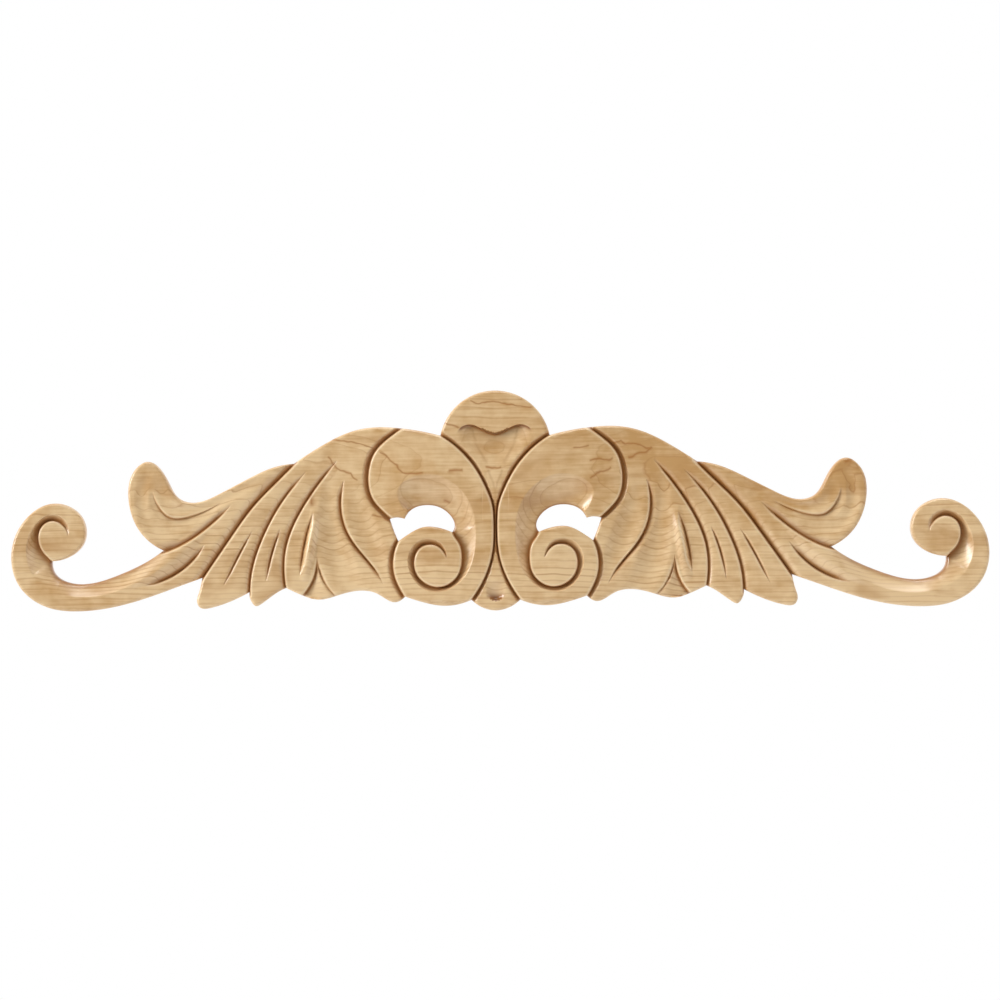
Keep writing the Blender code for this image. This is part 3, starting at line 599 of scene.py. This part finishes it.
def cutRows(cut):
    line = smoothPath(cut["path"], fineness["cutStep"])
    share = np.linspace(0.0, 1.0, len(line))
    wall = wallWidth(cut, along(share, cut["depth"]))
    rows = [line]
    if "ridge" in cut:
        ridge = smoothPath(cut["ridge"], fineness["cutStep"])
        reach, _, _ = measure(line, ridge)
        rows += [ridge] + [beside(ridge, cut["wallSide"] * gap) for gap in fineness["ridgeRows"]]
    else:
        reach = along(share, cut["runOut"])
    for part, gap in fineness["wallRows"]:
        rows.append(beside(line, cut["wallSide"] * (wall * part + gap)))
    for gap in fineness["runRows"]:
        row = beside(line, -cut["wallSide"] * gap)
        rows.append(row[reach > gap + fineness["runClear"]])
    return [row for row in rows if len(row) > 1]


def clearOf(points, others, distance):
    # points that keep their distance from the others, found through a grid of cells
    cells = {}
    for x, y in others:
        cells.setdefault((math.floor(x / distance), math.floor(y / distance)), []).append((x, y))
    kept = []
    for x, y in points:
        column, row = math.floor(x / distance), math.floor(y / distance)
        around = [cells.get((column + i, row + j), ()) for i in (-1, 0, 1) for j in (-1, 0, 1)]
        if all((x - a) ** 2 + (y - b) ** 2 > distance ** 2 for cell in around for a, b in cell):
            kept.append((x, y))
    return np.array(kept)


def lattice(step):
    # a grid of even triangles over the half
    rows = []
    levels = np.arange(-fineness["gridUp"], fineness["gridUp"], step * math.sqrt(0.75))
    for number, up in enumerate(levels):
        out = np.arange(0.5 * step + 0.5 * step * (number % 2), fineness["gridOut"], step)
        rows.append(np.stack([out, np.full(len(out), up)], axis=1))
    return np.concatenate(rows)


def halfPlan():
    # one half seen from the front: outline, window and every cut are lines of the mesh
    edge = outlineLine(fineness["edgeStep"])
    middle = evenSteps(np.array([edge[-1], edge[0]]), fineness["cutStep"])[1:-1]
    border = np.concatenate([edge, middle])
    window = windowLine(fineness["edgeStep"])
    corners = []
    links = []

    def addLine(line, closed=False):
        first = len(corners)
        corners.extend(map(tuple, line))
        links.extend((first + i, first + i + 1) for i in range(len(line) - 1))
        if closed:
            links.append((first + len(line) - 1, first))

    def onBoard(places):
        return inside(places, border) & ~inside(places, window)

    addLine(border, closed=True)
    addLine(window, closed=True)
    for cut in cuts.values():
        for row in cutRows(cut):
            addLine(row)
    brow = smoothPath(heart["brow"], fineness["cutStep"])
    for share in fineness["browRows"]:
        addLine(brow - (0.0, share * heart["browWidth"]))
    lines = np.array(corners)
    for gap in fineness["rimRows"]:
        rim = beside(edge, -gap)
        rim = clearOf(rim[rim[:, 0] > gap], corners, fineness["rimClear"])
        corners.extend(map(tuple, rim))
    close = lattice(fineness["nearStep"])
    close = close[onBoard(close)]
    gaps = np.full(len(close), np.inf)
    batch = fineness["batch"]
    for start in range(0, len(close), batch):
        away = close[start:start + batch, None, :] - lines[None, ::fineness["fewer"], :]
        gaps[start:start + batch] = np.sqrt((away ** 2).sum(axis=2).min(axis=1))
    close = close[gaps < fineness["nearReach"]]
    close = clearOf(close, corners, fineness["nearClear"] * fineness["nearStep"])
    corners.extend(map(tuple, close))
    wide = lattice(fineness["farStep"])
    wide = clearOf(wide[onBoard(wide)], corners, fineness["farClear"] * fineness["farStep"])
    corners.extend(map(tuple, wide))
    wholeHull = 0
    result = delaunay_2d_cdt([Vector(c) for c in corners], links, [], wholeHull,
                             fineness["joinWithin"])
    plan = np.array([tuple(c) for c in result[0]])
    faces = np.array(result[2])
    return plan, faces[onBoard(plan[faces].mean(axis=1))]


def closeBack(bm):
    # the flat back, open over the windows
    edges = [edge for edge in bm.edges if edge.is_boundary]
    verts = list({vert: None for edge in edges for vert in edge.verts})
    number = {vert: i for i, vert in enumerate(verts)}
    links = [(number[edge.verts[0]], number[edge.verts[1]]) for edge in edges]
    places = np.array([(vert.co.x, vert.co.z) for vert in verts])
    insideOnly = 1
    faces = delaunay_2d_cdt([Vector(place) for place in places], links, [], insideOnly, 0.0)[2]
    middles = places[np.array(faces)].mean(axis=1)
    middles[:, 0] = np.abs(middles[:, 0])
    for face, skipped in zip(faces, inside(middles, windowLine(fineness["edgeStep"]))):
        if not skipped:
            bm.faces.new([verts[i] for i in face])


def drifted(out):
    return out + float(np.interp(abs(out), board["driftOut"], board["drift"]))


def makeOnlay():
    # carves one half, mirrors it, and closes the sides and the back
    plan, faces = halfPlan()
    print("plan of one half:", len(faces), "triangles")
    used = np.unique(faces)
    height, stainAndShade, wornAndHighlight = carve(plan[used])
    bm = bmesh.new()
    # on each corner: the stain with painted shade, and the worn edge with a painted highlight
    stainAndShadeLayer = bm.verts.layers.float.new("stainAndShade")
    wornAndHighlightLayer = bm.verts.layers.float.new("wornAndHighlight")
    verts = {}
    for i, high, dark, pale in zip(used, height, stainAndShade, wornAndHighlight):
        vert = bm.verts.new((plan[i, 0], -high, plan[i, 1]))
        vert[stainAndShadeLayer] = dark
        vert[wornAndHighlightLayer] = pale
        verts[i] = vert
    for face in faces:
        bm.faces.new([verts[i] for i in face])
    half = bm.verts[:] + bm.edges[:] + bm.faces[:]
    bmesh.ops.mirror(bm, geom=half, matrix=Matrix(), axis="X", merge_dist=fineness["mergeWithin"])
    rimEdges = [edge for edge in bm.edges if edge.is_boundary]
    for part in bmesh.ops.extrude_edge_only(bm, edges=rimEdges)["geom"]:
        if isinstance(part, bmesh.types.BMVert):
            part.co.y = 0.0
            part[stainAndShadeLayer] = part[wornAndHighlightLayer] = 0.0
    closeBack(bm)
    for vert in bm.verts:
        vert.co.x = drifted(vert.co.x)
    bmesh.ops.scale(bm, vec=(mm, mm, mm), verts=bm.verts)
    bmesh.ops.triangulate(bm, faces=bm.faces)
    bmesh.ops.recalc_face_normals(bm, faces=bm.faces)
    # the extrude makes the walls in no fixed order, so the faces are sorted by their middles
    ordered = sorted(bm.faces, key=lambda face: tuple(face.calc_center_median()))
    for number, face in enumerate(ordered):
        face.index = number
    bm.faces.sort()
    mesh = bpy.data.meshes.new("maple_onlay")
    bm.to_mesh(mesh)
    bm.free()
    mesh.shade_smooth()
    mesh.set_sharp_from_angle(angle=math.radians(fineness["sharpAngle"]))
    piece = bpy.data.objects.new("maple_onlay", mesh)
    bpy.context.scene.collection.objects.link(piece)
    print("onlay:", len(mesh.polygons), "triangles")
    return piece


def linear(code):
    # sRGB hex to linear colour
    shades = [int(code[i:i + 2], 16) / 255.0 for i in (0, 2, 4)]
    return [s / 12.92 if s <= 0.04045 else ((s + 0.055) / 1.055) ** 2.4 for s in shades] + [1.0]


def addNode(tree, kind, settings=None, links=None):
    # settings are properties, or values of unlinked sockets by name or number
    node = tree.nodes.new(kind)
    for name, value in (settings or {}).items():
        if isinstance(name, int) or name in node.inputs:
            node.inputs[name].default_value = value
        else:
            setattr(node, name, value)
    for name, source in (links or {}).items():
        tree.links.new(source, node.inputs[name])
    return node


# hard maple, flat-sawn, carved and sanded, with a thin satin finish: tan wood with fine brown
# ring lines. a scale is in waves to the metre
maple = {
    "light": "EFCFA0", "tan": "CDA067", "deep": "B78347", "line": "AD6F31", "mark": "AD6F30",
    # the last three: the brown stain of the cuts with painted shade in it, a deeper painted shadow,
    # and pale worn lips with a painted highlight
    "stainAndShade": "A2682C", "deepShadow": "5E3A16", "wornAndHighlight": "FAE3BC",
    "stretch": (0.35, 1.0, 1.0),        # patches are longer along the board
    "fibreStretch": (0.04, 0.6, 1.0),
    "pithBehind": 40.0,        # mm from the flat back to the middle of the tree
    "pithUp": 14.0,
    "ring": 1.75,              # mm of growth in a year
    "lineWidth": 0.45,         # mm, as wide as it needs to show
    "lineMix": 0.55,
    "leastSlope": 0.14,
    "sway": 5.0,               # mm that the rings wander over the board
    "swayScale": 14.0,
    "wobble": 0.8,
    "wobbleScale": 110.0,
    "yearRange": 0.7,          # years differ in how dark their line is, by this much
    "yearLeast": 0.45,
    "patchScale": 45.0,        # where lines are strong and where they are lost
    "patchGain": 1.7,
    "patchPower": 2.5,
    "late": 0.22,              # how dark the late wood is before a line
    "latePower": 5.0,
    "cloudScale": 30.0,
    "cloudTwist": 0.6,
    "cloud": 2.8,
    "cloudShift": -0.95,
    "fibreWidth": 0.5,         # mm across a fibre streak, as coarse as it needs to show
    "fibre": 1.2,
    "mottleScale": 160.0,
    "mottle": 1.2,
    "darkerUp": 0.3,         # darker by this at the height on the next line, and paler as far below
    "darkerUpSpan": 50.0,         # mm
    "blotchScale": 55.0,
    "blotchTwist": 1.2,
    "blotchFrom": 0.52,
    "blotchGain": 2.8,
    "shake": 5.0,              # mm that a mineral streak is shaken out of line
    "shakeScale": 110.0,
    "markWidth": 2.2,          # half widths to where a streak has faded
    "markPower": 1.6,
    "markMix": 0.9,
    "markFront": 1.0,          # mm off the back where streaks begin
    # how strongly the painted highlight on worn lips and the stain with painted shade show
    "wornAndHighlightMix": 0.6,
    "stainAndShadeMix": 0.9,
    "roughness": 0.31,
    "roughRange": 0.12,        # the fibres' share in it
    "bump": 0.25,
    "bumpHeight": 0.02,        # mm
    "ior": 1.5,
    "sheen": 1.0,
}

# brown mineral streaks and stray ring lines: (across, up) in mm from the front, and half widths
streaks = [
    ([(-14.0, 46.7), (-0.9, 45.4), (14.0, 43.1)], 0.3),
    ([(-25.7, 35.9), (-19.6, 34.6)], 0.5),
    ([(-5.8, 15.9), (0.0, 16.2)], 0.4),
    ([(-55.6, 22.4), (-51.1, 18.9), (-47.6, 16.4), (-45.1, 12.9), (-36.7, 12.8)], 0.4),
    ([(-23.8, 13.8), (-17.7, 14.2)], 0.5),
    ([(-25.7, -0.2), (-23.4, -1.1)], 0.6),
    ([(-59.5, -6.9), (-54.6, -7.4), (-52.1, -8.5)], 0.5),
    ([(-87.3, 2.0), (-87.8, -1.3)], 1.3),
    ([(-86.9, 29.7), (-73.3, 28.1), (-59.3, 24.2)], 0.35),
    ([(-79.4, 20.0), (-74.4, 14.5), (-69.4, 13.6), (-66.0, 10.0)], 0.4),
    ([(35.3, 24.0), (41.7, 25.0)], 0.4),
    ([(42.7, 17.8), (52.7, 19.0)], 0.45),
    ([(59.8, 20.0), (67.6, 22.1), (70.5, 24.1)], 0.55),
    ([(53.7, 26.7), (56.6, 27.7), (58.6, 25.6), (63.5, 25.4), (69.6, 24.1)], 0.4),
    ([(42.7, 10.4), (46.7, 13.3), (51.7, 15.3)], 0.4),
    ([(161.1, 16.8), (164.4, 17.6)], 0.8),
]


def makeMaple():
    material = bpy.data.materials.new("satin_hard_maple")
    material.use_nodes = True
    tree = material.node_tree
    shader = tree.nodes["Principled BSDF"]

    def taken(settings, items):
        # sockets are linked to a node, and other values are set on it
        links = {}
        for number, item in enumerate(items):
            if isinstance(item, bpy.types.NodeSocket):
                links[number] = item
            elif item is not None:
                settings[number] = item
        return settings, links

    def value(operation, a, b=None, c=None, clamp=False):
        settings, links = taken({"operation": operation, "use_clamp": clamp}, (a, b, c))
        return addNode(tree, "ShaderNodeMath", settings, links).outputs[0]

    def vector(operation, a, b, output="Vector"):
        settings, links = taken({"operation": operation}, (a, b))
        return addNode(tree, "ShaderNodeVectorMath", settings, links).outputs[output]

    def noise(at, scale, detail, twist=0.0, output="Fac"):
        settings = {"Scale": scale, "Detail": detail, "Distortion": twist}
        return addNode(tree, "ShaderNodeTexNoise", settings, {"Vector": at}).outputs[output]

    place = addNode(tree, "ShaderNodeTexCoord").outputs["Object"]
    grain = vector("MULTIPLY", place, maple["stretch"])
    sway = noise(grain, maple["swayScale"], 1.0)
    wobble = noise(grain, maple["wobbleScale"], 2.0)
    parts = addNode(tree, "ShaderNodeSeparateXYZ", None, {0: place})
    deep = value("SUBTRACT", parts.outputs["Y"], maple["pithBehind"] * mm)
    high = value("SUBTRACT", parts.outputs["Z"], maple["pithUp"] * mm)
    squares = value("ADD", value("MULTIPLY", deep, deep), value("MULTIPLY", high, high))
    radius = value("SQRT", squares)
    wander = value("MULTIPLY", value("SUBTRACT", sway, 0.5), 2.0 * maple["sway"] * mm)
    wobble = value("SUBTRACT", wobble, 0.5)
    wander = value("MULTIPLY_ADD", wobble, 2.0 * maple["wobble"] * mm, wander)
    years = value("DIVIDE", value("ADD", radius, wander), maple["ring"] * mm)
    part = value("FRACT", years)
    toLine = value("MINIMUM", part, value("SUBTRACT", 1.0, part))
    toLine = value("MULTIPLY", toLine, maple["ring"] * mm)
    # where the face runs nearly along the rings, a line is kept as thin as elsewhere
    normal = addNode(tree, "ShaderNodeNewGeometry").outputs["Normal"]
    facing = addNode(tree, "ShaderNodeSeparateXYZ", None, {0: normal})
    leanDeep = value("MULTIPLY", facing.outputs["Y"], deep)
    leanHigh = value("MULTIPLY", facing.outputs["Z"], high)
    lean = value("DIVIDE", value("ADD", leanDeep, leanHigh), radius)
    slope = value("SQRT", value("SUBTRACT", 1.0, value("MULTIPLY", lean, lean), clamp=True))
    slope = value("MAXIMUM", slope, maple["leastSlope"])
    reach = value("MULTIPLY", slope, maple["lineWidth"] * mm)
    line = value("SUBTRACT", 1.0, value("DIVIDE", toLine, reach), clamp=True)
    year = addNode(tree, "ShaderNodeTexWhiteNoise", {"noise_dimensions": "1D"},
                   {"W": value("ROUND", years)}).outputs["Value"]
    patch = noise(grain, maple["patchScale"], 2.0)
    patch = value("POWER", value("MULTIPLY", patch, maple["patchGain"]), maple["patchPower"])
    strength = value("MULTIPLY_ADD", year, maple["yearRange"], maple["yearLeast"])
    line = value("MULTIPLY", line, value("MULTIPLY", strength, patch), clamp=True)
    late = value("MULTIPLY", value("POWER", part, maple["latePower"]), maple["late"])

    fibreScale = 1.0 / (2.0 * maple["fibreWidth"] * mm)
    fibre = noise(vector("MULTIPLY", place, maple["fibreStretch"]), fibreScale, 3.0)
    cloud = noise(grain, maple["cloudScale"], 4.0, maple["cloudTwist"])
    mottle = noise(place, maple["mottleScale"], 3.0)
    shade = value("MULTIPLY_ADD", cloud, maple["cloud"], maple["cloudShift"])
    for streaky, much in ((fibre, maple["fibre"]), (mottle, maple["mottle"])):
        shade = value("ADD", shade, value("MULTIPLY_ADD", streaky, much, -0.5 * much))
    darker = maple["darkerUp"] / (maple["darkerUpSpan"] * mm)
    shade = value("ADD", shade, value("MULTIPLY", parts.outputs["Z"], darker))
    shade = value("ADD", shade, late, clamp=True)
    blotch = noise(grain, maple["blotchScale"], 3.0, maple["blotchTwist"])
    blotch = value("SUBTRACT", blotch, maple["blotchFrom"], clamp=True)
    blotch = value("MULTIPLY", blotch, maple["blotchGain"], clamp=True)

    def mixed(factor, first, second):
        # sockets 6, 7 and 2 are the colours of a mix node and its result
        node = addNode(tree, "ShaderNodeMix", {"data_type": "RGBA"}, {0: factor})
        for number, item in ((6, first), (7, second)):
            if isinstance(item, list):
                node.inputs[number].default_value = item
            else:
                tree.links.new(item, node.inputs[number])
        return node.outputs[2]

    colour = mixed(shade, linear(maple["light"]), linear(maple["tan"]))
    colour = mixed(blotch, colour, linear(maple["deep"]))
    line = value("MULTIPLY", line, maple["lineMix"])
    colour = mixed(line, colour, linear(maple["line"]))

    # the mineral streaks, as lines seen from the front with a shake in them
    flat = vector("MULTIPLY", place, (1.0, 0.0, 1.0))
    shake = noise(flat, maple["shakeScale"], 2.0, output="Color")
    shake = vector("SUBTRACT", shake, (0.5, 0.5, 0.5))
    shake = vector("MULTIPLY", shake, (maple["shake"] * mm, 0.0, maple["shake"] * mm))
    flat = vector("ADD", flat, shake)
    mark = 0.0
    for points, half in streaks:
        for start, end in zip(points, points[1:]):
            first = Vector((start[0] * mm, 0.0, start[1] * mm))
            run = Vector((end[0] * mm, 0.0, end[1] * mm)) - first
            offset = vector("SUBTRACT", flat, first)
            share = vector("DOT_PRODUCT", offset, run / run.length_squared, "Value")
            share = value("MULTIPLY", share, 1.0, clamp=True)
            nearest = addNode(tree, "ShaderNodeVectorMath", {"operation": "SCALE", 0: run},
                              {"Scale": share}).outputs[0]
            gap = vector("DISTANCE", offset, nearest, "Value")
            gap = value("DIVIDE", gap, maple["markWidth"] * half * mm)
            here = value("SUBTRACT", 1.0, gap, clamp=True)
            mark = value("MAXIMUM", mark, value("POWER", here, maple["markPower"]))
    onFront = value("LESS_THAN", parts.outputs["Y"], -maple["markFront"] * mm)
    mark = value("MULTIPLY", value("MULTIPLY", mark, onFront), maple["markMix"], clamp=True)
    colour = mixed(mark, colour, linear(maple["mark"]))

    # pale worn lips with a painted highlight, the brown stain with painted shade in the cuts, and a
    # deeper painted shadow where that runs over 1
    wornAndHighlight = addNode(tree, "ShaderNodeAttribute", {"attribute_name": "wornAndHighlight"}).outputs["Fac"]
    wornAndHighlight = value("MULTIPLY", wornAndHighlight, maple["wornAndHighlightMix"], clamp=True)
    colour = mixed(wornAndHighlight, colour, linear(maple["wornAndHighlight"]))
    stainAndShade = addNode(tree, "ShaderNodeAttribute", {"attribute_name": "stainAndShade"}).outputs["Fac"]
    dark = value("MULTIPLY", stainAndShade, maple["stainAndShadeMix"], clamp=True)
    colour = mixed(dark, colour, linear(maple["stainAndShade"]))
    deepShadowShare = value("SUBTRACT", stainAndShade, 1.0, clamp=True)
    colour = mixed(deepShadowShare, colour, linear(maple["deepShadow"]))
    tree.links.new(colour, shader.inputs["Base Color"])
    smoothest = maple["roughness"] - 0.5 * maple["roughRange"]
    rough = value("MULTIPLY_ADD", fibre, maple["roughRange"], smoothest)
    tree.links.new(rough, shader.inputs["Roughness"])
    relief = {"Strength": maple["bump"], "Distance": maple["bumpHeight"] * mm}
    bump = addNode(tree, "ShaderNodeBump", relief, {"Height": fibre})
    tree.links.new(bump.outputs[0], shader.inputs["Normal"])
    shader.inputs["IOR"].default_value = maple["ior"]
    shader.inputs["Specular IOR Level"].default_value = maple["sheen"]
    return material


onlay = makeOnlay()
onlay.data.materials.append(makeMaple())
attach(onlay, "root")
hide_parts("carved_onlay")
print("maple on")

# plain pale floor, well below the picture
studio = {
    "floorDrop": 0.6, "floorRadius": 2.0, "floorSides": 96,
    "floorColour": "E9E7E3", "floorRoughness": 0.9,
    "photoScale": 0.4670,      # mm of the onlay's face to a pixel of the photograph
    "photoMiddle": (500.0, 500.15),
    "photoTurn": 0.35,         # degrees that the onlay leans anticlockwise in the photograph
    "lens": 300.0, "sensor": 36.0, "pixels": 1000,
    "faceAt": -15.0,           # mm, the depth where photoScale is true
    "clipStart": 0.05,
    "front": 0.1,              # light from the camera's side
    "frontHeading": -0.5,      # the surround brightens from here
    "backHeading": 0.1,        # to here, and is white behind the onlay
}

# soft lamps, all aimed at the middle of the onlay's back
lamps = {
    "left_softbox": {"place": (-7.5, -3.75, 2.5), "size": 3.6, "power": 490.0},
    "top_softbox": {"place": (0.0, -1.2, 3.0), "size": 1.8, "power": 46.0},
    "right_softbox": {"place": (3.0, -1.4, 0.6), "size": 2.4, "power": 16.0},
}


def makeFloor():
    bm = bmesh.new()
    bmesh.ops.create_circle(bm, cap_ends=True, segments=studio["floorSides"],
                            radius=studio["floorRadius"])
    bmesh.ops.translate(bm, vec=(0.0, 0.0, -studio["floorDrop"]), verts=bm.verts)
    mesh = bpy.data.meshes.new("floor")
    bm.to_mesh(mesh)
    bm.free()
    floor = bpy.data.objects.new("floor", mesh)
    bpy.context.scene.collection.objects.link(floor)
    paint = bpy.data.materials.new("matt_pale_floor")
    paint.use_nodes = True
    shader = paint.node_tree.nodes["Principled BSDF"]
    shader.inputs["Base Color"].default_value = linear(studio["floorColour"])
    shader.inputs["Roughness"].default_value = studio["floorRoughness"]
    mesh.materials.append(paint)


def makeCamera():
    camera = bpy.data.cameras.new("camera")
    camera.lens = studio["lens"]
    camera.sensor_width = studio["sensor"]
    seen = studio["photoScale"] * mm * studio["pixels"]
    distance = seen * studio["lens"] / studio["sensor"]
    centre = studio["pixels"] / 2.0
    across = (centre - studio["photoMiddle"][0]) * studio["photoScale"] * mm
    up = (studio["photoMiddle"][1] - centre) * studio["photoScale"] * mm
    holder = bpy.data.objects.new("camera", camera)
    holder.location = (across, studio["faceAt"] * mm - distance, up)
    holder.rotation_euler = (math.radians(90.0), math.radians(studio["photoTurn"]), 0.0)
    camera.clip_start = studio["clipStart"]
    bpy.context.scene.collection.objects.link(holder)
    bpy.context.scene.camera = holder


def makeLamp(name, place, size, power):
    lamp = bpy.data.lights.new(name, "AREA")
    lamp.size = size
    lamp.energy = power
    holder = bpy.data.objects.new(name, lamp)
    holder.location = place
    holder.rotation_euler = (Vector() - Vector(place)).to_track_quat("-Z", "Y").to_euler()
    bpy.context.scene.collection.objects.link(holder)


def makeSurround():
    # a white backdrop behind the onlay, and soft light that is weaker on the camera's side
    world = bpy.data.worlds.new("surround")
    world.use_nodes = True
    tree = world.node_tree
    background = tree.nodes["Background"]
    heading = addNode(tree, "ShaderNodeTexCoord").outputs["Generated"]
    parts = addNode(tree, "ShaderNodeSeparateXYZ", None, {0: heading})
    spread = {"From Min": studio["frontHeading"], "From Max": studio["backHeading"],
              "To Min": studio["front"], "To Max": 1.0}
    strength = addNode(tree, "ShaderNodeMapRange", spread, {"Value": parts.outputs["Y"]})
    background.inputs["Color"].default_value = (1.0, 1.0, 1.0, 1.0)
    tree.links.new(strength.outputs[0], background.inputs["Strength"])
    bpy.context.scene.world = world
    bpy.context.scene.view_settings.view_transform = "Standard"


makeFloor()
makeCamera()
for lampName, lamp in lamps.items():
    makeLamp(lampName, lamp["place"], lamp["size"], lamp["power"])
makeSurround()
print("studio ready")
